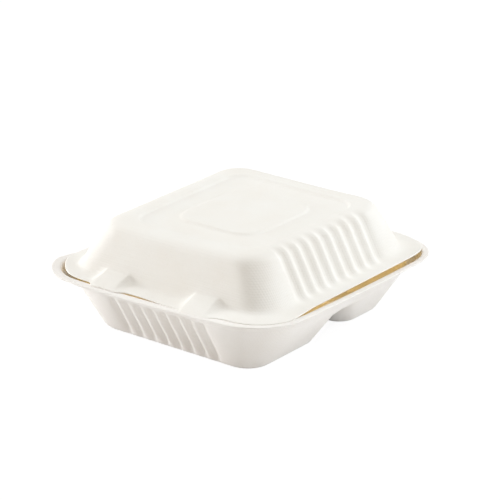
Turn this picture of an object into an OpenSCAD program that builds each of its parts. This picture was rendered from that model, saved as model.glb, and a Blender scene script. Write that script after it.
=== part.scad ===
// Hinged lunch box pressed in one piece from plant fibre pulp: a tray with three compartments and a domed lid.
// The frame: X runs along the front edge, the fold lies at the back (+Y), and the tray stands on Z = 0.

/* [Tray] */
// Width of the tray across its side rims
tray_w = 203; // [185:1:230]
// Depth of the tray from the front rim to the fold
tray_d = 207; // [190:1:230]
// Height of the top of the rim above the table
tray_h = 41; // [34:1:56]
// Radius of the rim's corners, seen from above
rim_r = 37; // [32:1:42]
// Width of the flat rim around the mouth
rim_w = 6.5; // [5:0.5:8]
// Height of the upright neck under the rim
neck_h = 4.5; // [3:0.5:6]
// Width of the small ledge under the neck along the sides
ledge_w = 1; // [0.5:0.5:2]
// Radius of the walls' corners under the ledge, seen from above
wall_r = 45; // [38:1:48]
// How far each side wall comes in between the neck and the floor
side_run = 26; // [20:0.5:30]
// How far the front and back walls come in between the neck and the floor
front_run = 20.5; // [16:0.5:26]
// Radius of the floor's outer corners, seen from above
floor_r = 16; // [9:0.5:18]
// Radius of the bend between a wall and the floor
floor_bend = 4; // [2.5:0.5:5]
// Thickness of the pressed pulp
wall = 1; // [0.8:0.1:1.3]

/* [Dividers] */
// Height of the dividers' underside at the side walls
divider_h = 24.5; // [18:0.5:28]
// Rise of the dividers' rounded backs above their edges
divider_crown = 1.6; // [0.8:0.2:2.4]
// Distance from the middle of the tray forward to the front compartment's back edge
front_cell_back = 3; // [1:0.5:8]
// How far the front compartment's back wall comes in towards the floor
front_cell_run = 5.5; // [3:0.5:9]
// Distance from the middle of the tray back to the rear compartments' front edge
rear_cell_front = 3.5; // [1:0.5:8]
// How far the rear compartments' front walls come in towards the floor
rear_cell_run = 23; // [12:0.5:28]
// Width of the divider between the two rear compartments at its top
rear_divider_w = 8; // [5:0.5:12]
// How far the walls beside that divider come in towards the floor
rear_divider_run = 5; // [3:0.5:8]
// Radius of the compartments' corners beside the side walls, at the dividers' height
cell_r = 11; // [8:0.5:13]
// Radius of the rear compartments' inner corners at the dividers' height
inner_r = 8; // [6:0.5:10]
// Radius of the front compartment's rear corners at the floor
back_floor_r = 6; // [5:0.5:8]
// Radius of the rear compartments' front outer corners at the floor
bowl_floor_r = 13; // [10:0.5:16]

/* [Front wall grooves] */
// Number of grooves pressed into the tray's front wall
front_grooves = 8; // [0:1:8]
// Distance from groove to groove on the front wall
front_pitch = 10.8; // [10:0.1:11.5]
// Width of each groove of the front wall
front_groove_w = 7; // [5:0.25:8.5]
// Depth of each groove of the front wall
front_groove_d = 2.2; // [1:0.1:2.6]
// Sideways place of the middle of the grooves
front_groove_x = 2; // [-2:0.5:3]

/* [Lid] */
// Height of the lid's top above its own brim
lid_rise = 32; // [26:0.5:40]
// Distance from the rim's outer edge in to the lid's edge at the sides
lid_side_set = 5.4; // [5:0.1:8]
// Distance from the rim's outer edge in to the lid's edge at the front
lid_front_set = 8; // [7:0.1:10]
// Radius of the lid's outer corners, seen from above
lid_r = 37; // [32:1:42]
// Radius of the lid's front right corner, which is cut fuller
lid_near_r = 30; // [26:1:38]
// Width of the flat brim around the lid's dome
brim_w = 9; // [7:0.5:11]
// Radius of the bend between the brim and the dome
foot_bend = 5; // [3:0.5:6]
// How far each side of the dome comes in between the brim and the top
dome_side_run = 17; // [12:0.5:20]
// How far the front and back of the dome come in between the brim and the top
dome_front_run = 13.5; // [10:0.5:18]
// Radius of the dome's corners at the foot, seen from above
dome_foot_r = 21; // [18:0.5:26]
// Radius of the dome's corners at the shoulder, seen from above
dome_top_r = 18; // [15:0.5:22]
// Radius of the shoulder between the dome's sides and its top
shoulder_r = 10; // [7:0.5:12]

/* [Lid grooves] */
// Number of grooves on each side of the lid
side_grooves = 9; // [0:1:9]
// Distance from groove to groove on the lid
side_pitch = 11.1; // [10.5:0.1:11.8]
// Width of each groove of the lid
side_groove_w = 7.4; // [5:0.2:8.6]
// Depth of each groove of the lid
side_groove_d = 2.6; // [1:0.1:3]
// How far the grooves reach onto the lid's top
groove_reach = 4; // [2:0.5:6]
// Height above the brim at which the grooves have their full depth
groove_foot = 4; // [3.4:0.2:8]

/* [Lid panel] */
// Width of the sunk panel on the lid's top
panel_w = 96; // [80:1:100]
// Depth of the sunk panel from front to back
panel_d = 108; // [90:1:112]
// How far the panel is sunk
panel_sink = 1.2; // [0.6:0.1:2]
// Width of the raised field within the panel
field_w = 60; // [40:1:66]
// Depth of the raised field from front to back
field_d = 68; // [50:1:76]
// Radius of the corners of the panel and the field
panel_r = 14; // [10:0.5:18]
// Width of the slope between the levels of the panel
panel_slope = 2; // [1:0.2:3]

/* [Lock tabs] */
// Distance between the middles of the two lock tabs
tab_spacing = 76; // [64:1:84]
// Sideways place of the middle between the tabs
tab_x = -2; // [-3:0.5:3]
// Width of each tab's flat front
tab_w = 19; // [14:0.5:22]
// Height of each tab at the dome above the brim
tab_h = 5.6; // [4:0.2:7]
// Width at the dome of the slope on each side of a tab
tab_flank = 8; // [4:0.5:9]
// Width of the flat lip in front of each tab's ramp
tab_lip = 3; // [2:0.5:5]
// How far each tab's edge reaches out beyond the lid's edge
tab_reach = 4; // [2:0.2:5]

/* [Warp] */
// Rise of the tray's rim at its front right corner
rim_curl = 3.7; // [0:0.1:5]
// Spread of that rise along the rim
curl_spread = 50; // [35:1:60]
// Rise of the rim along the right side
rim_lift = 1.3; // [0:0.1:2]
// Rise of the lid along its right edge
lid_lift = 4.1; // [0:0.1:5]
// Rise of the lid at its front right corner
lid_curl = 3.5; // [0:0.1:5]

/* [Hidden] */

// Room between the lid's brim and the tray's rim when the box is shut
seat_gap = 0.3;
// Distance from the fold's axis to the edge of the lid's brim
fold_gap = 0.5;
// Length over which the warp fades out in front of the fold
fade_len = 26;
// Points are rounded to this step, so that neighbouring patches share them
grain = 0.0001;

// Steps in a quarter turn of a large outline and of an inner corner
arc_steps = 6;
cell_steps = 5;
// Slopes of the pressed sheet against the table, in degrees
wall_slope = 55;
neck_slope = 75;
edge_slope = 30;
// Across one groove: places of its four lines as shares of its width, and their shares of its depth
groove_place_shares = [-0.5, -0.2, 0.2, 0.5];
groove_depth_shares = [0, 1, 1, 0];
// The least share of a radius that is left when an outline is drawn in
radius_share = 0.25;
half_share = 0.5;

// Rounded outlines
// An outline is [left, right, front, back] and the radii of its corners: front left, front right,
// back right and back left.
// A station of an outline is [part, value]. Parts 0 to 3 are the corners in that order, with the share
// of the quarter turn. Parts 4 to 7 are the front, right, back and left sides, with the place along them.
function outline(half_w, front, back, r) = [-half_w, half_w, front, back, r, r, r, r];
function drawn_in(o, d) = [
    o[0] + d, o[1] - d, o[2] + d, o[3] - d,
    each [for (i = [4:7]) max(o[i] - d, o[i] * radius_share)]
];
function mix(a, b, t) = a + (b - a) * t;
function halfway(a, b) = mix(a, b, half_share);
function middle_of(o) = [halfway(o[0], o[1]), halfway(o[2], o[3])];
function heading(s) = s[0] < 4 ? 180 + 90 * (s[0] + s[1]) : 270 + 90 * (s[0] - 4);
function out_of(s) = [cos(heading(s)), sin(heading(s))];
function corner_centre(k, o) = [
    k == 0 || k == 3 ? o[0] + o[4 + k] : o[1] - o[4 + k],
    k < 2 ? o[2] + o[4 + k] : o[3] - o[4 + k]
];
function spot(s, o) =
    s[0] < 4 ? corner_centre(s[0], o) + o[4 + s[0]] * out_of(s)
    : s[0] == 4 ? [s[1], o[2]]
    : s[0] == 5 ? [o[1], s[1]]
    : s[0] == 6 ? [s[1], o[3]]
    : [o[0], s[1]];
function corner(k, steps) = [for (i = [0:steps]) [k, i / steps]];
function side(k, places) = [for (v = places) [k, v]];
function snapped(p) = [for (v = p) round(v / grain) * grain];
function backwards(list) = [for (i = [len(list) - 1:-1:0]) list[i]];
// Places from a to b without the two ends
function between(a, b, steps) = [for (i = [1:1:steps - 1]) mix(a, b, i / steps)];

// The pressed sheet
// A knot is one point of the sheet on its outer face and one on its inner face. up is 1 where the inner
// face lies above the outer one, as in the tray, and -1 in the lid.
function knot(p, n, z, slope, up) = [
    snapped([p[0], p[1], z]),
    snapped([p[0] - n[0] * wall * sin(slope), p[1] - n[1] * wall * sin(slope), z + up * wall * cos(slope)])
];
function quad(a, b, c, d) = [[a, b, c], [a, c, d]];
// Triangles of knots between two rows of the same length
function strip(outer, inner, closed) = [
    for (i = [0:len(outer) - 1])
        let (j = (i + 1) % len(outer))
        if (closed || j > 0)
            each quad(outer[i], outer[j], inner[j], inner[i])
];
function strips(rows) = [for (i = [0:len(rows) - 2]) each strip(rows[i], rows[i + 1], true)];
function fan(row, centre) = [for (i = [0:len(row) - 1]) [row[i], row[(i + 1) % len(row)], centre]];
// Joins a row to one with fewer knots: partner gives the inner knot that belongs to each outer one
function taper(outer, inner, partner) = [
    for (i = [0:len(outer) - 1])
        let (
            j = (i + 1) % len(outer),
            a = partner[i],
            b = partner[j]
        )
        each concat(
            [[outer[i], outer[j], inner[a]]],
            a == b ? [] : [[outer[j], inner[b], inner[a]]]
        )
];
function rim_band(row) = [
    for (i = [0:len(row) - 1])
        let (a = row[i], b = row[(i + 1) % len(row)])
        each [[a[0], a[1], b[1]], [a[0], b[1], b[0]]]
];
function turned(triangles) = [for (t = triangles) [t[0], t[2], t[1]]];
module pressed_sheet(triangles, band, up) {
    outer = [for (t = triangles) [for (k = t) k[0]]];
    inner = [for (t = triangles) [for (k = t) k[1]]];
    faces = up > 0 ? concat(outer, turned(inner), band) : concat(turned(outer), inner, turned(band));
    polyhedron(
        points = [for (t = faces) each t],
        faces = [for (i = [0:len(faces) - 1]) [3 * i, 3 * i + 1, 3 * i + 2]]
    );
}

// Grooves
function groove_lines(count, pitch, width, middle) = [
    for (i = [0:1:count - 1])
        for (s = groove_place_shares)
            middle + pitch * (i - (count - 1) / 2) + width * s
];
function groove_shares(count) = [for (i = [0:1:count - 1]) each groove_depth_shares];
// Share of the groove's depth at a place along the wall
function groove_share(v, lines, shares) =
    len(lines) == 0 ? 0 : max([for (i = [0:len(lines) - 1]) abs(v - lines[i]) < grain ? shares[i] : 0]);

// Tray
half_w = tray_w / 2;
half_d = tray_d / 2;
under_rim = tray_h - wall;
neck_z = under_rim - neck_h;
wall_top_z = neck_z - ledge_w / 2;
mouth_bend = wall;
rim_edge = outline(half_w, -half_d, half_d, rim_r);
rim_inner = drawn_in(rim_edge, rim_w - mouth_bend);
neck_top = drawn_in(rim_edge, rim_w);
neck_foot = drawn_in(neck_top, neck_h / 4);
front_lines = groove_lines(front_grooves, front_pitch, front_groove_w, front_groove_x);
front_shares = groove_shares(front_grooves);
// The walls' corners leave room for the grooves between them
wall_top_x = neck_foot[1] - ledge_w;
wall_corner_r = min(wall_r, wall_top_x - max([0, each [for (v = front_lines) abs(v)]]));
wall_top = outline(wall_top_x, neck_foot[2] + ledge_w, neck_foot[3] - ledge_w, wall_corner_r);
floor_sharp = outline(wall_top[1] - side_run, wall_top[2] + front_run, wall_top[3] - front_run, floor_r);
function wall_at(z) = mix(wall_top, floor_sharp, (wall_top_z - z) / wall_top_z);
cell_top = wall_at(divider_h);

// The three compartments, each with its outline at the dividers and at the floor
front_cell = [cell_top[0], cell_top[1], cell_top[2], -front_cell_back, cell_top[4], cell_top[5], cell_r, cell_r];
front_floor = [
    floor_sharp[0], floor_sharp[1], floor_sharp[2], -front_cell_back - front_cell_run,
    floor_r, floor_r, back_floor_r, back_floor_r
];
right_cell = [
    rear_divider_w / 2, cell_top[1], rear_cell_front, cell_top[3],
    inner_r, cell_r, cell_top[6], inner_r
];
right_floor = [
    rear_divider_w / 2 + rear_divider_run, floor_sharp[1], rear_cell_front + rear_cell_run, floor_sharp[3],
    inner_r, bowl_floor_r, floor_r, inner_r
];

// Stations of the sides where the compartments meet the outer wall
notch_front = front_cell[3] - cell_r;
notch_back = right_cell[2] + cell_r;
notch_middle = halfway(notch_front, notch_back);
back_notch = right_cell[0] + inner_r;
front_end = max(rim_edge[2] + rim_r, wall_top[2] + wall_corner_r);
back_end = min(rim_edge[3] - rim_r, wall_top[3] - wall_corner_r);
side_front_places = between(front_end, notch_front, 3);
side_back_places = between(max(notch_back, right_floor[2] + bowl_floor_r), back_end, 3);
back_places = between(min(half_w - rim_r, wall_top[1] - wall_corner_r), back_notch, 3);

tray_stations = concat(
    corner(0, arc_steps),
    side(4, front_lines),
    corner(1, arc_steps),
    side(5, concat(side_front_places, [notch_front, notch_middle, notch_back], side_back_places)),
    corner(2, arc_steps),
    side(6, concat(back_places, [back_notch, 0, -back_notch], backwards(-back_places))),
    corner(3, arc_steps),
    side(7, backwards(concat(side_front_places, [notch_front, notch_middle, notch_back], side_back_places)))
);

crest_z = divider_h + divider_crown;
// The warp is strongest along the right side and at the front right corner, and fades out at the fold
function eased(t) = let (c = min(1, max(0, t))) c * c * (3 - 2 * c);
function near_corner(p) =
    let (d = norm([p[0] - half_w + rim_r / 4, p[1] + half_d - rim_r / 4]))
    exp(-d * d / (2 * curl_spread * curl_spread));
function warp_at(p, side_rise, corner_rise) =
    eased((half_d - p[1]) / fade_len)
    * mix(side_rise * pow(max(0, p[0]) / half_w, 2), corner_rise, near_corner(p));
// The rim's rise fades down to the dividers
function rim_rise(p, z) = warp_at(p, rim_lift, rim_curl) * max(0, (z - crest_z) / (under_rim - crest_z));
function front_push(s, share) = s[0] == 4 ? share * front_groove_d * groove_share(s[1], front_lines, front_shares) : 0;
function tray_knot(s, o, z, slope, share) =
    let (n = out_of(s), p = spot(s, o) - n * front_push(s, share))
    knot(p, n, z + rim_rise(p, z), slope, 1);
function crown_at(s) =
    (s[0] == 5 || s[0] == 7) && abs(s[1] - notch_middle) < grain ? divider_crown
    : s[0] == 6 && abs(s[1]) < grain ? divider_crown
    : 0;
// Each level is [outline, height, slope, share of the grooves' depth]
groove_full_z = wall_top_z - front_groove_d;
tray_levels = [
    [rim_edge, under_rim, 0, 0],
    [rim_inner, under_rim, 0, 0],
    [neck_top, under_rim - mouth_bend, neck_slope, 0],
    [neck_foot, neck_z, neck_slope, 0],
    [wall_top, wall_top_z, wall_slope, 0],
    [wall_at(groove_full_z), groove_full_z, wall_slope, 1]
];
tray_rows = concat(
    [for (l = tray_levels) [for (s = tray_stations) tray_knot(s, l[0], l[1], l[2], l[3])]],
    [[for (s = tray_stations) tray_knot(s, cell_top, divider_h + crown_at(s), wall_slope, 1)]]
);

// A compartment below the dividers. The bend to the floor is drawn from its radius.
bend_len = floor_bend * tan(wall_slope / 2);
bend_z = bend_len * sin(wall_slope);
function cell_levels(top, floor_line) = [
    [mix(top, floor_line, (divider_h - bend_z) / divider_h), bend_z, wall_slope, 1],
    [
        drawn_in(floor_line, bend_len - floor_bend * sin(wall_slope / 2)),
        floor_bend * (1 - cos(wall_slope / 2)), wall_slope / 2, 1
    ],
    [drawn_in(floor_line, bend_len), 0, 0, groove_floor_share]
];
groove_floor_share = 0.35;
// A corner's end counts as part of the outer wall where the side that it meets is one of the outer parts
function is_outer(s, outer_parts) =
    len(search(s[0], outer_parts)) > 0
    || s[0] < 4 && s[1] == 0 && len(search(4 + (s[0] + 3) % 4, outer_parts)) > 0
    || s[0] < 4 && s[1] == 1 && len(search(4 + s[0], outer_parts)) > 0;
function edge_knots(stations, top, outer_parts, grooved) = [
    for (s = stations)
        tray_knot(s, top, divider_h, is_outer(s, outer_parts) ? wall_slope : edge_slope, grooved)
];
function cell_rows(stations, top, floor_line, outer_parts, grooved) = concat(
    [edge_knots(stations, top, outer_parts, grooved)],
    [
        for (l = cell_levels(top, floor_line))
            [for (s = stations) tray_knot(s, l[0], l[1], l[2], l[3] * grooved)]
    ]
);
function cell_sheet(rows, floor_line) = concat(
    strips(rows),
    fan(rows[len(rows) - 1], knot(middle_of(floor_line), [0, 0], 0, 0, 1))
);

// Lines of the divider's two edges, from the right wall inwards
bar_steps = 4;
back_bar_places = between(min(front_cell[1] - cell_r, front_floor[1] - back_floor_r), 0, bar_steps + cell_steps);
front_bar_places = between(min(right_cell[1] - cell_r, right_floor[1] - bowl_floor_r), right_floor[0] + inner_r, bar_steps);
rear_bar_places = between(right_floor[2] + inner_r, right_floor[3] - inner_r, 3);
front_stations = concat(
    corner(0, arc_steps),
    side(4, front_lines),
    corner(1, arc_steps),
    side(5, side_front_places),
    corner(2, cell_steps),
    side(6, concat(back_bar_places, [0], backwards(-back_bar_places))),
    corner(3, cell_steps),
    side(7, backwards(side_front_places))
);
right_stations = concat(
    corner(0, cell_steps),
    side(4, backwards(front_bar_places)),
    corner(1, cell_steps),
    side(5, side_back_places),
    corner(2, arc_steps),
    side(6, back_places),
    corner(3, cell_steps),
    side(7, backwards(rear_bar_places))
);
front_parts = [0, 1, 4, 5, 7];
right_parts = [2, 5, 6];
front_rows = cell_rows(front_stations, front_cell, front_floor, front_parts, 1);
right_rows = cell_rows(right_stations, right_cell, right_floor, right_parts, 0);

// The dividers' backs, right half: each edge is joined to the raised middle line
front_edge = edge_knots(
    concat(corner(2, cell_steps), side(6, concat(back_bar_places, [0]))),
    front_cell, front_parts, 1
);
right_edge = edge_knots(
    concat(backwards(corner(1, cell_steps)), side(4, front_bar_places), backwards(corner(0, cell_steps))),
    right_cell, right_parts, 0
);
rear_edge = edge_knots(
    concat([[0, 0]], side(7, rear_bar_places), backwards(corner(3, cell_steps))),
    right_cell, right_parts, 0
);
cross_y = halfway(front_edge[len(front_edge) - 1][0][1], right_edge[len(right_edge) - 1][0][1]);
function crest(p) = knot(p, [0, 0], crest_z, 0, 1);
cross_crest = [
    knot([cell_top[1], notch_middle], [1, 0], crest_z, wall_slope, 1),
    each [
        for (i = [1:len(front_edge) - 2])
            crest(halfway(front_edge[i][0], right_edge[i][0]))
    ],
    crest([0, cross_y])
];
rear_crest = [
    crest([0, cross_y]),
    each [for (i = [1:len(rear_edge) - 2]) crest([0, rear_edge[i][0][1]])],
    knot([0, cell_top[3]], [0, 1], crest_z, wall_slope, 1)
];
right_half = concat(
    strip(cross_crest, front_edge, false),
    strip(right_edge, cross_crest, false),
    strip(rear_edge, rear_crest, false),
    cell_sheet(right_rows, right_floor)
);
function flipped(k) = [for (p = k) [-p[0], p[1], p[2]]];
left_half = [for (t = right_half) [flipped(t[0]), flipped(t[2]), flipped(t[1])]];

module tray() {
    color("ivory")
        pressed_sheet(
            concat(strips(tray_rows), cell_sheet(front_rows, front_floor), right_half, left_half),
            rim_band(tray_rows[0]),
            1
        );
}

// Lid
brim_z = tray_h + seat_gap + wall;
lid_half_w = half_w - lid_side_set;
lid_edge = [-lid_half_w, lid_half_w, -half_d + lid_front_set, half_d - fold_gap, lid_r, lid_near_r, lid_r, lid_r];
lid_middle = middle_of(lid_edge);
dome_slope = atan(lid_rise / dome_side_run);
foot_len = foot_bend * tan(dome_slope / 2);
shoulder_len = shoulder_r * tan(dome_slope / 2);
foot_set = brim_w + foot_len;
foot_line = [
    lid_edge[0] + foot_set, lid_edge[1] - foot_set, lid_edge[2] + foot_set, lid_edge[3] - foot_set,
    dome_foot_r, dome_foot_r, dome_foot_r, dome_foot_r
];
top_line = [
    foot_line[0] + dome_side_run, foot_line[1] - dome_side_run,
    foot_line[2] + dome_front_run, foot_line[3] - dome_front_run,
    dome_top_r, dome_top_r, dome_top_r, dome_top_r
];
function dome_at(z) = mix(foot_line, top_line, z / lid_rise);

side_lines = groove_lines(side_grooves, side_pitch, side_groove_w, lid_middle[1]);
side_shares = groove_shares(side_grooves);
tab_middles = [tab_x - tab_spacing / 2, tab_x + tab_spacing / 2];
tab_shares_across = [0, 0.5, 1, 1, 0.5, 0];
tab_lines = [
    for (m = tab_middles)
        for (i = [0:5])
            m + (i < 3 ? -1 : 1) * (tab_w / 2 + tab_flank * (1 - tab_shares_across[i]))
];
tab_shares = [for (m = tab_middles) each tab_shares_across];
lid_stations = concat(
    corner(0, arc_steps),
    side(4, tab_lines),
    corner(1, arc_steps),
    side(5, side_lines),
    corner(2, arc_steps),
    side(6, [lid_half_w / 3, -lid_half_w / 3]),
    corner(3, arc_steps),
    side(7, backwards(side_lines))
);

// The lid's right edge stands up from its seat, and comes down to it again at the fold
function lid_up(p) = warp_at(p, lid_lift, lid_curl);
function tab_share(s) = s[0] == 4 ? groove_share(s[1], tab_lines, tab_shares) : 0;
function side_push(s, share) =
    s[0] == 5 || s[0] == 7 ? share * side_groove_d * groove_share(s[1], side_lines, side_shares) : 0;
// Each tab's ramp climbs from its lip to the dome, and its side slopes widen on the way
tab_run = foot_set + tab_h * dome_front_run / lid_rise;
function ramp_share(p) = min(1, max(0, p[1] - lid_edge[2] - tab_lip) / (tab_run - tab_lip));
function tab_top(p, s) = tab_h * max(0, ramp_share(p) + tab_share(s) - 1);
// The places along the front and the back close up where the corners leave less room between them
function closed_up(s, o) =
    s[0] == 4 || s[0] == 6 ? [s[0], s[1] * min(1, (o[1] - o[5]) / (lid_half_w - lid_r))] : s;
// Each level is [outline, height above the brim, slope, share of the grooves' depth, share of the tabs' reach]
function lid_knot(s, o, z, slope, share, reach) =
    let (
        n = out_of(s),
        push = side_push(s, share),
        out = reach * tab_reach * max(0, 2 * tab_share(s) - 1),
        p = spot(closed_up(s, o), o) + n * (out - push * sin(slope)),
        top = max(z - push * cos(slope), tab_top(p, s))
    )
    knot(p, n, brim_z + lid_up(p) + top, slope, -1);
// A level on a bend between the sloped wall and a flat, drawn from the sharp line where they meet
function bend_level(sharp, bend_r, bend_len, angle, z, side_sign, share) = [
    drawn_in(sharp, side_sign * (bend_len - bend_r * sin(angle))),
    z - side_sign * bend_r * (1 - cos(angle)),
    angle, share, 0
];
foot_z = foot_len * sin(dome_slope);
top_groove_share = 0.55;
lid_levels = [
    [lid_edge, 0, 0, 0, 1],
    [drawn_in(lid_edge, tab_lip), 0, 0, 0, 0],
    bend_level(foot_line, foot_bend, foot_len, 0, 0, -1, 0),
    bend_level(foot_line, foot_bend, foot_len, dome_slope / 2, 0, -1, 0),
    [dome_at(foot_z), foot_z, dome_slope, foot_z / groove_foot, 0],
    [dome_at(groove_foot), groove_foot, dome_slope, 1, 0],
    bend_level(top_line, shoulder_r, shoulder_len, dome_slope, lid_rise, 1, 1),
    bend_level(top_line, shoulder_r, shoulder_len, dome_slope * 2 / 3, lid_rise, 1, 1),
    bend_level(top_line, shoulder_r, shoulder_len, dome_slope / 3, lid_rise, 1, 1),
    bend_level(top_line, shoulder_r, shoulder_len, 0, lid_rise, 1, top_groove_share),
    [drawn_in(top_line, shoulder_len + groove_reach), lid_rise, 0, 0, 0]
];
lid_rows = [for (l = lid_levels) [for (s = lid_stations) lid_knot(s, l[0], l[1], l[2], l[3], l[4])]];

// The sunk panel and the raised field on the lid's top
function centred(w, d, r) = [
    lid_middle[0] - w / 2, lid_middle[0] + w / 2, lid_middle[1] - d / 2, lid_middle[1] + d / 2, r, r, r, r
];
panel = centred(panel_w, panel_d, panel_r);
field = centred(field_w, field_d, panel_r);
panel_stations = [for (k = [0:3]) each corner(k, arc_steps)];
panel_levels = [
    [panel, 0],
    [drawn_in(panel, panel_slope), -panel_sink],
    [drawn_in(field, -panel_slope), -panel_sink],
    [field, 0]
];
panel_rows = [
    for (l = panel_levels) [for (s = panel_stations) lid_knot(s, l[0], lid_rise + l[1], 0, 0, 0)]
];
// The panel knot that each station of the lid is joined to
function first_half(s) =
    s[0] == 4 ? s[1] < lid_middle[0]
    : s[0] == 5 ? s[1] < lid_middle[1]
    : s[0] == 6 ? s[1] > lid_middle[0]
    : s[1] > lid_middle[1];
panel_partner = [
    for (s = lid_stations)
        s[0] < 4 ? s[0] * (arc_steps + 1) + round(s[1] * arc_steps)
        : first_half(s) ? (s[0] - 4) * (arc_steps + 1) + arc_steps
        : (s[0] - 3) % 4 * (arc_steps + 1)
];

module lid() {
    color("linen")
        pressed_sheet(
            concat(
                strips(lid_rows),
                taper(lid_rows[len(lid_rows) - 1], panel_rows[0], panel_partner),
                strips(panel_rows),
                fan(panel_rows[3], knot(lid_middle, [0, 0], brim_z + lid_rise + lid_up(lid_middle), 0, -1))
            ),
            rim_band(lid_rows[0]),
            -1
        );
}

tray();
lid();
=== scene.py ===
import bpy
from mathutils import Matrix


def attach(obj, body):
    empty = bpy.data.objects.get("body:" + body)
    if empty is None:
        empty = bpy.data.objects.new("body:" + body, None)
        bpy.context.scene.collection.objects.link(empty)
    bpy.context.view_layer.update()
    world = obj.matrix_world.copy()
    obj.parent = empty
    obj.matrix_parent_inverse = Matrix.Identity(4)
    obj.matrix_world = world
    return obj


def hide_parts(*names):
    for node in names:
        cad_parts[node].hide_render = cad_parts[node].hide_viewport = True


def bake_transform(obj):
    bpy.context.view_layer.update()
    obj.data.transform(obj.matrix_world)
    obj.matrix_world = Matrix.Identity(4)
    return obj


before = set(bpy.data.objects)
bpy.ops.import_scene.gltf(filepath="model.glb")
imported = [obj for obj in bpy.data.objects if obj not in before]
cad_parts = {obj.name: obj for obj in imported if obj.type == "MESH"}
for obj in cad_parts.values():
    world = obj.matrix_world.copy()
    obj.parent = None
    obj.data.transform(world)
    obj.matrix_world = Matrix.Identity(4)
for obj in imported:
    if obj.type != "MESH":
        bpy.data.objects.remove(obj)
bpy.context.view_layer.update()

import math

import bmesh
import bpy
from mathutils import Vector

# Millimetres are written as in the press tool's drawing
MM = 0.001


def let_go():
    if bpy.context.object and bpy.context.object.mode != "OBJECT":
        bpy.ops.object.mode_set(mode="OBJECT")
    bpy.ops.object.select_all(action="DESELECT")


# An outline is a rounded rectangle. Its corners come in this order:
# front left, front right, back right, back left.
def outline(left, right, front, back, z, corners):
    return {"left": left, "right": right, "front": front, "back": back, "z": z, "r": corners}


def set_in(shape, by, z, corners):
    left, right = shape["left"] + by, shape["right"] - by
    return outline(left, right, shape["front"] + by, shape["back"] - by, z, corners)


def rounded(shape, by, z):
    """The outline set in, with corners that turn about the same centres."""
    return set_in(shape, by, z, [r - by for r in shape["r"]])


def sharp_corners(shape):
    return [
        (shape["left"], shape["front"]), (shape["right"], shape["front"]),
        (shape["right"], shape["back"]), (shape["left"], shape["back"]),
    ]


def plate(name, shape, arc_steps, across, along):
    """A flat plate with rounded corners. across and along are the places of its cut lines."""
    let_go()
    width = shape["right"] - shape["left"]
    depth = shape["back"] - shape["front"]
    middle = Vector((shape["left"] + shape["right"], shape["front"] + shape["back"], 2 * shape["z"])) / 2 * MM
    bpy.ops.mesh.primitive_plane_add(size=1, location=middle)
    piece = bpy.context.object
    piece.scale = (width * MM, depth * MM, 1)
    bpy.ops.object.transform_apply(location=True, rotation=True, scale=True)
    piece.name = name
    piece.data.name = name
    bpy.ops.object.mode_set(mode="EDIT")
    for (x, y), r in zip(sharp_corners(shape), shape["r"]):
        mesh = bmesh.from_edit_mesh(piece.data)
        tip = min(mesh.verts, key=lambda v: math.hypot(v.co.x / MM - x, v.co.y / MM - y))
        choose(piece, [tip.index])
        bpy.ops.mesh.bevel(offset=r * MM, segments=arc_steps, affect="VERTICES", profile=0.5)
    for x in across:
        bpy.ops.mesh.select_all(action="SELECT")
        bpy.ops.mesh.bisect(plane_co=(x * MM, 0, 0), plane_no=(1, 0, 0))
    for y in along:
        bpy.ops.mesh.select_all(action="SELECT")
        bpy.ops.mesh.bisect(plane_co=(0, y * MM, 0), plane_no=(0, 1, 0))
    mark(piece, shape)
    bpy.ops.mesh.select_mode(type="FACE")
    bpy.ops.mesh.select_all(action="SELECT")
    return piece


NEAR = 0.02


def mark(piece, shape):
    """Notes for each point which corner (1 to 4) or side (5 to 8) of the outline it lies on."""
    mesh = bmesh.from_edit_mesh(piece.data)
    part = mesh.verts.layers.int.new("part")
    sides = (("front", 1), ("right", 0), ("back", 1), ("left", 0))
    for v in mesh.verts:
        place = (v.co.x / MM, v.co.y / MM)
        for k, (side, axis) in enumerate(sides):
            if abs(place[axis] - shape[side]) < NEAR:
                v[part] = k + 5
        on_edge = any(edge.is_boundary for edge in v.link_edges)
        for k, (x, y) in enumerate(sharp_corners(shape)):
            reach = shape["r"][k] + NEAR
            if on_edge and abs(place[0] - x) < reach and abs(place[1] - y) < reach:
                v[part] = k + 1


def choose(piece, points):
    """Selects these points, and what lies between them."""
    bpy.ops.mesh.select_mode(type="VERT")
    bpy.ops.mesh.select_all(action="DESELECT")
    mesh = bmesh.from_edit_mesh(piece.data)
    mesh.verts.ensure_lookup_table()
    for index in points:
        mesh.verts[index].select_set(True)
    mesh.select_flush(True)
    bmesh.update_edit_mesh(piece.data)


def shift(piece, points, by):
    if points and max(abs(c) for c in by) > 1e-6:
        choose(piece, points)
        bpy.ops.transform.translate(value=tuple(c * MM for c in by))


def scale_about(piece, points, centre, by):
    if points and max(abs(c - 1) for c in by) > 1e-6:
        choose(piece, points)
        bpy.ops.transform.resize(value=by, center_override=tuple(c * MM for c in centre))


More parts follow.
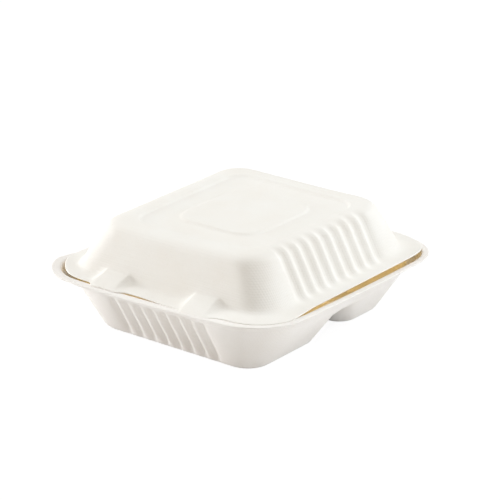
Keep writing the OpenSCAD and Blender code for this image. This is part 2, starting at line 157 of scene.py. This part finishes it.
def step_to(piece, old, new, keep_across=True, keep_along=True, keep_back=True):
    """Draws the chosen faces out to the next outline.

    Cut lines keep their places, or close up with the corners. keep_back is for those at the back alone.
    """
    bpy.ops.mesh.extrude_region_move(TRANSFORM_OT_translate={"value": (0, 0, (new["z"] - old["z"]) * MM)})
    mesh = bmesh.from_edit_mesh(piece.data)
    part = mesh.verts.layers.int["part"]
    cap = [v.index for v in mesh.verts if v.select]
    by_part = {k: [v.index for v in mesh.verts if v.select and v[part] == k] for k in range(9)}
    # The corners that each side carries with it
    sides = {"front": (5, 1, 2), "right": (6, 2, 3), "back": (7, 3, 4), "left": (8, 4, 1)}
    for side, parts in sides.items():
        move = new[side] - old[side]
        step = (move, 0, 0) if side in ("left", "right") else (0, move, 0)
        shift(piece, [i for k in parts for i in by_part[k]], step)
    for k, (x, y) in enumerate(sharp_corners(new)):
        by = new["r"][k] / old["r"][k]
        scale_about(piece, by_part[k + 1], (x, y, 0), (by, by, 1))
    if not keep_across:
        squeeze(piece, by_part[5] + by_part[0], old, new, "left", "right", 0, 1)
    if not (keep_across and keep_back):
        squeeze(piece, by_part[7], old, new, "left", "right", 3, 2)
    if not keep_along:
        squeeze(piece, by_part[6] + by_part[0], old, new, "front", "back", 1, 2)
        squeeze(piece, by_part[8], old, new, "front", "back", 0, 3)
    choose(piece, cap)
    bpy.ops.mesh.select_mode(type="FACE")
    return new


def squeeze(piece, points, old, new, low, high, low_corner, high_corner):
    """Scales the cut lines' places with the straight length between two corners."""
    before = [old[low] + old["r"][low_corner], old[high] - old["r"][high_corner]]
    after = [new[low] + new["r"][low_corner], new[high] - new["r"][high_corner]]
    by = (after[1] - after[0]) / (before[1] - before[0])
    axis = 0 if low == "left" else 1
    if abs(1 - by) < 1e-4:
        shift(piece, points, (after[0] - before[0], 0, 0) if axis == 0 else (0, after[0] - before[0], 0))
        return
    # The place that stays where it is under this scaling
    fixed = (after[0] - by * before[0]) / (1 - by)
    scaling = [1, 1, 1]
    scaling[axis] = by
    centre = [0, 0, 0]
    centre[axis] = fixed
    scale_about(piece, points, centre, scaling)


def choose_faces(piece, wanted):
    """Selects the faces whose middle, in millimetres, and normal pass the test."""
    bpy.ops.mesh.select_mode(type="FACE")
    bpy.ops.mesh.select_all(action="DESELECT")
    mesh = bmesh.from_edit_mesh(piece.data)
    mesh.normal_update()
    for face in mesh.faces:
        face.select_set(wanted(face.calc_center_median() / MM, face.normal))
    bmesh.update_edit_mesh(piece.data)


def drop_first_plate(piece):
    """Takes away the flat plate that the first draw leaves behind, which faces down."""
    choose_faces(piece, lambda middle, normal: normal.z < -0.5)
    bpy.ops.mesh.delete(type="FACE")


def finish_sheet(piece, thickness, levels):
    """Gives the pressed sheet its thickness on the side away from its normals, and softens its bends."""
    let_go()
    piece.select_set(True)
    bpy.context.view_layer.objects.active = piece
    wall = piece.modifiers.new("sheet thickness", "SOLIDIFY")
    wall.thickness = thickness * MM
    wall.offset = -1
    wall.use_even_offset = True
    soft = piece.modifiers.new("soft pressing", "SUBSURF")
    soft.levels = levels
    soft.render_levels = levels
    bpy.ops.object.modifier_apply(modifier=wall.name)
    bpy.ops.object.modifier_apply(modifier=soft.name)
    bpy.ops.object.shade_smooth()


def eased(t):
    t = min(1, max(0, t))
    return t * t * (3 - 2 * t)


# Box
HALF_W = 101.5
HALF_D = 103.5
RIM_R = 37
CURL_SPREAD = 50
FADE = 26
LEFT_SAG = 3


def near_corner(x, y):
    away = math.hypot(x - HALF_W + RIM_R / 4, y + HALF_D - RIM_R / 4)
    return math.exp(-away * away / (2 * CURL_SPREAD * CURL_SPREAD))


def warp_at(x, y, side_rise, corner_rise):
    """The warp is strongest along the right side and at the front right corner, and fades out at the fold."""
    side = side_rise * (max(0, x) / HALF_W) ** 2
    rise = eased((HALF_D - y) / FADE) * (side + (corner_rise - side) * near_corner(x, y))
    sag = LEFT_SAG * eased((y + 78) / 28) * eased((HALF_D - y) / 70) * (max(0, -x) / HALF_W) ** 6
    return rise - sag


def warp(piece, side_rise, corner_rise, seat_z, reach_z):
    """Raises the pressed sheet by its warp, in full above reach_z and not at all below seat_z."""
    for v in piece.data.vertices:
        x, y, z = (c / MM for c in v.co)
        share = max(0, (z - seat_z) / (reach_z - seat_z))
        v.co.z += warp_at(x, y, side_rise, corner_rise) * min(1, share) * MM


def press(piece, wanted, depth):
    """Pushes the points that pass the test into the sheet."""
    mesh = bmesh.from_edit_mesh(piece.data)
    choose(piece, [v.index for v in mesh.verts if wanted(*(c / MM for c in v.co))])
    bpy.ops.transform.shrink_fatten(value=-depth * MM)


# Tray
RIM_TOP = 41
FRONT_PITCH = 10.8
FRONT_GROOVES = 8
FRONT_MIDDLE = 1
FRONT_DEPTH = 3.6
NOTCH_FRONT = -14
NOTCH_BACK = 14.5
CREST_Z = 27
FLOOR_Z = 1
ARC_STEPS = 8
columns = [FRONT_MIDDLE + FRONT_PITCH / 4 * (i + 0.5) for i in range(-2 * FRONT_GROOVES, 2 * FRONT_GROOVES)]
side_cuts = [-42, -35, -28, -21, NOTCH_FRONT, -7, 0.25, 7.5, NOTCH_BACK, 21.5, 28.5, 35.5, 42.5]


def wall_line(z, by=0):
    """The inner face of the tray's outer wall at this height: half width, half depth and corner radius."""
    down = (35.57 - z) / 35
    return 92.06 - 26 * down - by, 94.03 - 20.5 * down - by, 44.2 - 29 * down - by


def between(top, bottom, z):
    return bottom + (top - bottom) * (z - FLOOR_Z) / (25.2 - FLOOR_Z)


def divider_side(z, crest, shoulder, top, bottom):
    """Place of a compartment's edge at the divider: rounded at the divider's back, then sloping down."""
    return crest if z == CREST_Z else shoulder if z > 26 else between(top, bottom, z)


def front_cell(z, by=0):
    half_w, half_d, corner_r = wall_line(z, by)
    back = divider_side(z, -1.3, -2.9, -3.9, -9.3) - by
    r = divider_side(z, -1.3 - NOTCH_FRONT, 11.3, 10.3, 5.5)
    return outline(-half_w, half_w, -half_d, back, z, [corner_r, corner_r, r, r])


def rear_cell(z, by=0, side=1):
    half_w, half_d, corner_r = wall_line(z, by)
    front = divider_side(z, 1.7, 3.3, 4.2, 26.9) + by
    inner = divider_side(z, 1.9, 3.8, 4.9, 9.8) + by
    bowl_r = divider_side(z, NOTCH_BACK - 1.7, 11.6, 10.6, 12.4)
    # The inner corners end on one of the cut lines of the back wall
    cut = min(c * side for c in columns if c * side > 11)
    inner_r = divider_side(z, cut - 1.9, 8.5, 7.5, 7.5)
    if side > 0:
        return outline(inner, half_w, front, half_d, z, [inner_r, bowl_r, corner_r, inner_r])
    return outline(-half_w, -inner, front, half_d, z, [bowl_r, inner_r, inner_r, corner_r])


# Each level of a compartment below its crest: height, and how far in from the wall's straight line
CELL_LEVELS = ((26.4, 0), (25.2, 0), (19, 0), (12, 0), (5.5, 0), (2.9, 0), (1.5, 0.45), (1, 2.2), (1, 6))


def press_cell(name, cell, across, along, keep_across):
    level = cell(CREST_Z)
    piece = plate(name, level, ARC_STEPS, across, along)
    for z, by in CELL_LEVELS:
        level = step_to(piece, level, cell(z, by), keep_across=keep_across, keep_along=False)
    drop_first_plate(piece)
    let_go()
    return piece


def inside(values, low, high):
    return [v for v in values if low + 0.1 < v < high - 0.1]


def make_tray():
    rim = outline(-HALF_W, HALF_W, -HALF_D, HALF_D, RIM_TOP, [RIM_R] * 4)
    tray = plate("tray_sheet", rim, ARC_STEPS, columns, side_cuts)
    level = rim
    # The flat rim, the bend into the mouth and the neck
    for by, z in ((1.2, 41), (3.4, 41), (5.5, 41), (6.6, 40.7), (7.3, 39.8), (8.3, 36.8), (8.7, 35.9)):
        shape = rounded(rim, by, z)
        # The flat rim is wider at the corner nearest the front right, and narrower along the right side
        shape["r"][1] += 8 * min(1, by / 5.5)
        shape["right"] += 1.8 * min(1, by / 5.5, (9.2 - by) / 2)
        level = step_to(tray, level, shape)
    for z in (35.57, 34.6, 33, 30, CREST_Z):
        half_w, half_d, corner_r = wall_line(z)
        level = step_to(tray, level, outline(-half_w, half_w, -half_d, half_d, z, [corner_r] * 4))
    bpy.ops.mesh.delete(type="FACE")
    drop_first_plate(tray)
    let_go()
    half_w, half_d, corner_r = wall_line(CREST_Z)
    cells = [
        press_cell(
            "front_compartment", front_cell, columns, inside(side_cuts, -half_d + corner_r, NOTCH_FRONT), True
        )
    ]
    for side in (1, -1):
        shape = rear_cell(CREST_Z, side=side)
        across = inside(columns, shape["left"] + shape["r"][3], shape["right"] - shape["r"][2])
        cells.append(
            press_cell(
                "rear_compartment", lambda z, by=0, side=side: rear_cell(z, by, side), across,
                inside(side_cuts, NOTCH_BACK, half_d - corner_r), False
            )
        )
    for piece in cells + [tray]:
        piece.select_set(True)
    bpy.context.view_layer.objects.active = tray
    bpy.ops.object.join()
    bpy.ops.object.mode_set(mode="EDIT")
    bpy.ops.mesh.select_mode(type="VERT")
    bpy.ops.mesh.select_all(action="SELECT")
    bpy.ops.mesh.remove_doubles(threshold=0.03 * MM)
    close_dividers(tray)
    for low, high, depth in ((33.6, 34.9, 0.7), (10, 33.4, 1), (5, 10, 0.8), (2.7, 5, 0.4)):
        for side, share in ((-1, 0.4), (1, 1)):
            press(
                tray, lambda x, y, z: low < z < high and in_front_groove(x, y, z, side),
                -FRONT_DEPTH * depth * share
            )
    finish_sheet(tray, 1, 1)
    warp(tray, 1.3, 3.7, 26.6, 40)
    return tray


def in_front_groove(x, y, z, side):
    """True on the groove columns of one side: the left ones are shallow, the right ones are deep."""
    place = (x - FRONT_MIDDLE) / FRONT_PITCH + (FRONT_GROOVES - 1) / 2
    reach = wall_line(z, 4)[1]
    return 0 < (place - round(place)) * side < 0.2 and -0.3 < place < FRONT_GROOVES - 0.7 and y < -reach


def close_dividers(tray):
    """Fills the dividers' flat backs between the three compartments."""
    mesh = bmesh.from_edit_mesh(tray.data)
    rim_of_gap = [e for e in mesh.edges if e.is_boundary and max(v.co.z for v in e.verts) / MM < 30]
    bpy.ops.mesh.select_mode(type="EDGE")
    bpy.ops.mesh.select_all(action="DESELECT")
    mesh = bmesh.from_edit_mesh(tray.data)
    for edge in rim_of_gap:
        edge.select_set(True)
    bmesh.update_edit_mesh(tray.data)
    bpy.ops.mesh.fill(use_beauty=True)
    bpy.ops.mesh.tris_convert_to_quads()
    choose_faces(tray, lambda middle, normal: normal.z < -0.5)
    bpy.ops.mesh.flip_normals()


# Lid
BRIM_Z = 42.3
BRIM_HALF_W = 96.1
BRIM_FRONT = -95.5
BRIM_BACK = 103
BRIM_R = 37
BRIM_NEAR_R = 30
BRIM_W = 12
FOOT_R = 21
BACK_RIGHT_R_EXTRA = 12
RISE = 32
SIDE_RUN = 17
FRONT_RUN = 13.5
PANEL_SINK = 1.6
LID_MIDDLE = 3.75
SIDE_MIDDLE = 0.7
SIDE_PITCH = 11.1
SIDE_GROOVES = 9
SIDE_DEPTH = 3.15
TAB_MIDDLES = (-40, 36)
TAB_HALF = 9.5
TAB_FLANKS = {"left": 7, "right": 8.5}
TAB_H = 5.6
TAB_REACH = 4
RAMP_FRONT = -98
RAMP_RUN = 16.9
RAMP_BACK = -78
RAMP_TOP = 9
LIP_BACK = -94
LIP_EXTRA = 5
LIP_SUNK = 0.4
BRIM_REACH = 1.2
BRIM_SUNK = 0.2
BRIM_DRAWN = 2.2
LEFT_DRAWN = 1.5
NEAR_SUNK = 0.7
DRAWN_W = 8.7


def make_lid():
    edge = outline(
        -BRIM_HALF_W, BRIM_HALF_W, BRIM_FRONT, BRIM_BACK, BRIM_Z, [BRIM_R, BRIM_NEAR_R, BRIM_R, BRIM_R]
    )
    along = [SIDE_MIDDLE + SIDE_PITCH / 4 * (i + 0.5) for i in range(-2 * SIDE_GROOVES, 2 * SIDE_GROOVES)]
    across = [-15, -8, -2, 4, 11]
    across += [m + s * d for m in TAB_MIDDLES for s in (-1, 1) for d in (3.2, 9.1, 9.9, 13.7, 18.2)]
    lid = plate("lid_sheet", edge, ARC_STEPS, sorted(across), along)
    foot = set_in(edge, BRIM_W, BRIM_Z, [FOOT_R] * 4)

    def corners(r, z):
        # The dome's back right corner is fuller than the others
        return [r, r, r + BACK_RIGHT_R_EXTRA - 5 * z / RISE, r]

    def dome(z):
        up = z / RISE
        side_run, front_run = SIDE_RUN * up, FRONT_RUN * up
        left, right = foot["left"] + side_run, foot["right"] - side_run
        front, back = foot["front"] + front_run, foot["back"] - front_run
        return outline(left, right, front, back, BRIM_Z + z, corners(FOOT_R - 3 * up, z))

    level = edge
    for by in (1.2, 3, 5.8, 9):
        level = step_to(lid, level, rounded(edge, by, BRIM_Z))
    level = step_to(lid, level, set_in(foot, -0.43, BRIM_Z + 0.71, corners(21.4, 0)), keep_back=False)
    for z in (2.65, 5, 9):
        level = step_to(lid, level, dome(z), keep_back=False)
    for z in (14, 21):
        level = step_to(lid, level, dome(z), keep_across=False)
    # The shoulder: how far in from where the wall and the top would meet, depth below the top, corner
    for by, down, corner_r in (
        (-2.82, 5.3, 20.6), (-0.6, 2.5, 18.6), (2.47, 0.65, 15.6), (6, 0, 12), (10, 0, 8),
    ):
        shape = set_in(dome(RISE), by, BRIM_Z + RISE - down, corners(corner_r, RISE))
        level = step_to(lid, level, shape, keep_across=False)
    # The sunk panel, and the raised field in it: half width, half depth, depth below the top, corner
    for half_w, half_d, down, corner_r in (
        (54, 60, 0, 15), (52.7, 58.7, 0, 14.5), (51.3, 57.3, PANEL_SINK, 13.5), (50, 56, PANEL_SINK, 13),
        (35.2, 39.2, PANEL_SINK, 15), (33.9, 37.9, PANEL_SINK, 15), (32.5, 36.5, 0, 14), (31.2, 35.2, 0, 13),
        (26, 30, 0, 11),
    ):
        z = BRIM_Z + RISE - down
        shape = outline(-half_w, half_w, LID_MIDDLE - half_d, LID_MIDDLE + half_d, z, [corner_r] * 4)
        level = step_to(lid, level, shape, keep_across=False, keep_along=False)
    drop_first_plate(lid)
    right_bands = ((0.6, 1, 0.5), (2.3, 3.4, 1), (3.4, 30.9, 1), (30.9, 31.8, 0.8), (31.8, 32.2, 0.45))
    left_bands = ((0.6, 1, 0.35), (2.3, 3.4, 0.9), (3.4, 25, 1), (25, 28, 0.45))
    for side, bands in ((1, right_bands), (-1, left_bands)):
        for low, high, depth in bands:
            def in_band(x, y, z):
                return low < z - BRIM_Z < high and in_side_groove(x * side, y)

            press(lid, in_band, SIDE_DEPTH * depth)
    raise_lock_tabs(lid)
    finish_sheet(lid, 1, 1)
    draw_out_front_corners(lid)
    warp(lid, 4.1, 3.55, 0, 1)
    return lid


def brim_share(x, y, corner_r):
    """1 at the brim's edge around a front corner, and 0 from DRAWN_W inwards."""
    across = max(0, x - BRIM_HALF_W + corner_r)
    along = max(0, BRIM_FRONT + corner_r - y)
    return eased(1 + (math.hypot(across, along) - corner_r) / DRAWN_W)


def draw_out_front_corners(lid):
    """The brim reaches farther out around the front corners, and sinks onto the rim at the right one."""
    for v in lid.data.vertices:
        x, y, z = (c / MM for c in v.co)
        near = brim_share(x, y, BRIM_NEAR_R) * eased((x + 12) / 38) * eased((-45 - y) / 30)
        left = brim_share(-x, y, BRIM_R) * eased((-x - 40) / 12) * eased((x + 86) / 16)
        out = (BRIM_DRAWN * near + LEFT_DRAWN * left) / math.hypot(x, y)
        v.co.x += out * x * MM
        v.co.y += out * y * MM
        v.co.z -= NEAR_SUNK * near * MM


def in_side_groove(x, y):
    """True on the groove columns of the right side, up to where the grooves run out on the top."""
    place = (y - SIDE_MIDDLE) / SIDE_PITCH
    return abs(place - round(place)) < 0.2 and abs(round(place)) <= SIDE_GROOVES // 2 and x > 58.5


def raise_lock_tabs(lid):
    """Lifts the brim and the dome's foot onto a ramp at each lock tab, and draws out the tab's lip."""
    mesh = bmesh.from_edit_mesh(lid.data)
    ramps = {}
    tips = []
    for v in mesh.verts:
        x, y, z = v.co.x / MM, v.co.y / MM, v.co.z / MM - BRIM_Z
        if y > RAMP_BACK or z > RAMP_TOP:
            continue
        if y < LIP_BACK:
            tips.append((v.index, x))
            continue
        middle = min(TAB_MIDDLES, key=lambda m: abs(x - m))
        beside = max(0, abs(x - middle) - TAB_HALF)
        flank = TAB_FLANKS["right" if x > middle else "left"]
        climbed = min(1, max(0, (y - RAMP_FRONT) / RAMP_RUN))
        lift = TAB_H * (climbed - beside / flank) - z
        if lift > 0.01:
            ramps.setdefault(round(lift, 2), []).append(v.index)
    for lift, points in ramps.items():
        shift(lid, points, (0, 0, lift))
    lips = [i for i, x in tips if any(-TAB_HALF < x - m < TAB_HALF + LIP_EXTRA for m in TAB_MIDDLES)]
    shift(lid, lips, (0, -TAB_REACH, -LIP_SUNK))
    between_lips = [i for i, x in tips if TAB_MIDDLES[0] < x < TAB_MIDDLES[1] and i not in lips]
    shift(lid, between_lips, (0, -BRIM_REACH, -BRIM_SUNK))


FOLD_Y = 103.5


def make_fold():
    """The strip of pulp that joins the tray's rim to the lid's brim at the fold."""
    let_go()
    bpy.ops.mesh.primitive_cube_add(size=1, location=(1 * MM, (FOLD_Y - 0.75) * MM, 41.15 * MM))
    fold = bpy.context.object
    fold.name = "fold_strip"
    fold.data.name = "fold_strip"
    fold.scale = (120 * MM, 1.4 * MM, 2 * MM)
    bpy.ops.object.transform_apply(location=True, rotation=True, scale=True)
    bpy.ops.object.mode_set(mode="EDIT")
    bpy.ops.mesh.select_mode(type="EDGE")
    bpy.ops.mesh.select_all(action="SELECT")
    bpy.ops.mesh.bevel(offset=0.3 * MM, segments=3, affect="EDGES")
    for z in (40.8, 41.0, 41.15, 41.3, 41.5):
        bpy.ops.mesh.select_all(action="SELECT")
        bpy.ops.mesh.bisect(plane_co=(0, 0, z * MM), plane_no=(0, 0, 1))
    let_go()
    fold.select_set(True)
    bpy.ops.object.shade_smooth()
    return fold


# Materials
class Nodes:
    """Short forms for building a material's tree."""

    def __init__(self, name):
        self.material = bpy.data.materials.new(name)
        self.material.use_nodes = True
        self.tree = self.material.node_tree
        self.shader = self.tree.nodes["Principled BSDF"]
        self.coords = self.add("ShaderNodeTexCoord").outputs["Object"]

    def add(self, kind, **values):
        node = self.tree.nodes.new(kind)
        for key, value in values.items():
            setattr(node, key, value)
        return node

    def link(self, output, socket):
        self.tree.links.new(output, socket)

    def noise(self, scale, detail=3, roughness=0.5):
        node = self.add("ShaderNodeTexNoise")
        node.inputs["Scale"].default_value = scale
        node.inputs["Detail"].default_value = detail
        node.inputs["Roughness"].default_value = roughness
        self.link(self.coords, node.inputs["Vector"])
        return node.outputs["Fac"]

    def spread(self, value, low, high, to_low, to_high):
        node = self.add("ShaderNodeMapRange")
        self.link(value, node.inputs["Value"])
        for key, number in (("From Min", low), ("From Max", high), ("To Min", to_low), ("To Max", to_high)):
            node.inputs[key].default_value = number
        return node.outputs["Result"]

    def math(self, operation, a, b):
        node = self.add("ShaderNodeMath", operation=operation)
        for socket, value in zip(node.inputs, (a, b)):
            if isinstance(value, (int, float)):
                socket.default_value = value
            else:
                self.link(value, socket)
        return node.outputs["Value"]

    def mix(self, share, a, b):
        node = self.add("ShaderNodeMix", data_type="RGBA")
        sockets = (node.inputs["Factor"], node.inputs[6], node.inputs[7])
        for socket, value in zip(sockets, (share, a, b)):
            if isinstance(value, (int, float, tuple)):
                socket.default_value = value
            else:
                self.link(value, socket)
        return node.outputs[2]


def wire_mesh(nodes, pitch):
    """The imprint of the mould's wire mesh: fine lines across each face, in the directions that lie in it."""
    spot = nodes.add("ShaderNodeSeparateXYZ")
    nodes.link(nodes.coords, spot.inputs["Vector"])
    total = None
    for axis in ("X", "Y", "Z"):
        turn = nodes.math("MULTIPLY", spot.outputs[axis], 2 * math.pi / (pitch * MM))
        wave = nodes.math("SINE", turn, 0)
        total = wave if total is None else nodes.math("ADD", total, wave)
    return total


def pulp(name, pale, warm, mesh_depth):
    """Pressed plant fibre: cloudy colour, darker fibres, a dull uneven surface and the mould's wire mesh."""
    nodes = Nodes(name)
    clouds = nodes.spread(nodes.noise(28, 4, 0.6), 0.35, 0.68, 0, 1)
    fibres = nodes.spread(nodes.noise(900, 3, 0.7), 0.62, 0.75, 0, 0.35)
    colour = nodes.mix(clouds, pale, warm)
    colour = nodes.mix(fibres, colour, (0.72, 0.64, 0.52, 1))
    nodes.link(colour, nodes.shader.inputs["Base Color"])
    nodes.link(nodes.spread(nodes.noise(160, 3), 0.3, 0.7, 0.72, 0.9), nodes.shader.inputs["Roughness"])
    nodes.shader.inputs["Specular IOR Level"].default_value = 0.25
    grain = nodes.math("MULTIPLY", nodes.noise(650, 4, 0.6), 0.5)
    lumps = nodes.noise(130, 2)
    imprint = nodes.math("MULTIPLY", wire_mesh(nodes, 1.45), mesh_depth)
    height = nodes.math("ADD", nodes.math("ADD", grain, lumps), imprint)
    bump = nodes.add("ShaderNodeBump")
    bump.inputs["Strength"].default_value = 0.35
    bump.inputs["Distance"].default_value = 0.35 * MM
    nodes.link(height, bump.inputs["Height"])
    nodes.link(bump.outputs["Normal"], nodes.shader.inputs["Normal"])
    return nodes.material


def dress(piece, material):
    piece.data.materials.clear()
    piece.data.materials.append(material)


tray_pulp = pulp("tray pulp", (0.91, 0.885, 0.86, 1), (0.89, 0.86, 0.825, 1), 0.12)
lid_pulp = pulp("lid pulp", (0.90, 0.885, 0.85, 1), (0.885, 0.86, 0.815, 1), 0.15)
tray = make_tray()
dress(tray, tray_pulp)
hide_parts("tray")
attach(tray, "tray")
lid = make_lid()
dress(lid, lid_pulp)
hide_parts("lid")
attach(lid, "lid")
fold = make_fold()
dress(fold, lid_pulp)
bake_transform(fold)

# Stage
def studio_white():
    """White to the camera but for the faint shade near the box, and plain white to every other ray."""
    nodes = Nodes("studio white")
    nodes.shader.inputs["Base Color"].default_value = (0.95, 0.95, 0.95, 1)
    nodes.shader.inputs["Roughness"].default_value = 1
    seen = nodes.add("ShaderNodeBsdfDiffuse")
    seen.inputs["Color"].default_value = (0.12, 0.12, 0.12, 1)
    glow = nodes.add("ShaderNodeEmission")
    glow.inputs["Strength"].default_value = 0.93
    both = nodes.add("ShaderNodeAddShader")
    nodes.link(seen.outputs["BSDF"], both.inputs[0])
    nodes.link(glow.outputs["Emission"], both.inputs[1])
    choice = nodes.add("ShaderNodeMixShader")
    nodes.link(nodes.add("ShaderNodeLightPath").outputs["Is Camera Ray"], choice.inputs["Fac"])
    nodes.link(nodes.shader.outputs["BSDF"], choice.inputs[1])
    nodes.link(both.outputs["Shader"], choice.inputs[2])
    nodes.link(choice.outputs["Shader"], nodes.tree.nodes["Material Output"].inputs["Surface"])
    return nodes.material


let_go()
bpy.ops.mesh.primitive_plane_add(size=6, location=(0, 0, 0))
floor = bpy.context.object
floor.name = "floor"
dress(floor, studio_white())

# Camera
AZIMUTH = math.radians(37.83)
ELEVATION = math.radians(21.46)
back = Vector((
    math.sin(AZIMUTH) * math.cos(ELEVATION), -math.cos(AZIMUTH) * math.cos(ELEVATION), math.sin(ELEVATION)
))
right = Vector((math.cos(AZIMUTH), math.sin(AZIMUTH), 0))
up = back.cross(right)
looked_at = Vector((0, 0, 0.038)) + right * 0.00582 + up * 0.00861
bpy.ops.object.camera_add()
camera = bpy.context.object
camera.location = looked_at + back * 1.7441
camera.rotation_euler = (math.pi / 2 - ELEVATION, 0, AZIMUTH)
camera.data.lens = 184.6
camera.data.sensor_width = 36
bpy.context.scene.camera = camera


def softbox(name, place, size, watts, tint):
    bpy.ops.object.light_add(type="AREA", location=place)
    lamp = bpy.context.object
    lamp.name = name
    lamp.data.shape = "RECTANGLE"
    lamp.data.size = size
    lamp.data.size_y = size
    lamp.data.energy = watts
    lamp.data.color = tint
    lamp.rotation_euler = (Vector((0, 0, 0.04)) - Vector(place)).to_track_quat("-Z", "Y").to_euler()
    return lamp


softbox("left softbox", (-1.1, -0.7, 0.6), 0.6, 3.8, (0.88, 0.94, 1))
softbox("low left softbox", (-1.18, -0.56, 0.22), 0.4, 8.4, (0.95, 0.97, 1))
softbox("right softbox", (1.2, 0.6, 0.6), 0.7, 9.8, (0.86, 0.93, 1))
softbox("top softbox", (-0.1, 0.3, 1.4), 1.2, 9.8, (0.86, 0.94, 1))

# Light that comes through the thin pulp and warms the closed box from inside
for place, watts in (((0.02, -0.01, 0.052), 0.045), ((0.066, 0.066, 0.045), 0.0025)):
    bpy.ops.object.light_add(type="POINT", location=place)
    inner_glow = bpy.context.object
    inner_glow.name = "light through the pulp"
    inner_glow.data.color = (1, 0.7, 0.27)
    inner_glow.data.energy = watts
    inner_glow.data.shadow_soft_size = 0.01
    inner_glow.visible_camera = False


def studio_air(glow, tint):
    """Pure white to the camera, and a soft warm light from all round to everything else."""
    world = bpy.data.worlds.new("studio")
    bpy.context.scene.world = world
    world.use_nodes = True
    tree = world.node_tree
    seen = tree.nodes["Background"]
    seen.inputs["Color"].default_value = (1, 1, 1, 1)
    seen.inputs["Strength"].default_value = 1
    lit = tree.nodes.new("ShaderNodeBackground")
    lit.inputs["Color"].default_value = tint
    lit.inputs["Strength"].default_value = glow
    choice = tree.nodes.new("ShaderNodeMixShader")
    path = tree.nodes.new("ShaderNodeLightPath")
    tree.links.new(path.outputs["Is Camera Ray"], choice.inputs["Fac"])
    tree.links.new(lit.outputs["Background"], choice.inputs[1])
    tree.links.new(seen.outputs["Background"], choice.inputs[2])
    tree.links.new(choice.outputs["Shader"], tree.nodes["World Output"].inputs["Surface"])


studio_air(0.43, (1, 0.89, 0.76, 1))
bpy.context.scene.view_settings.view_transform = "Standard"
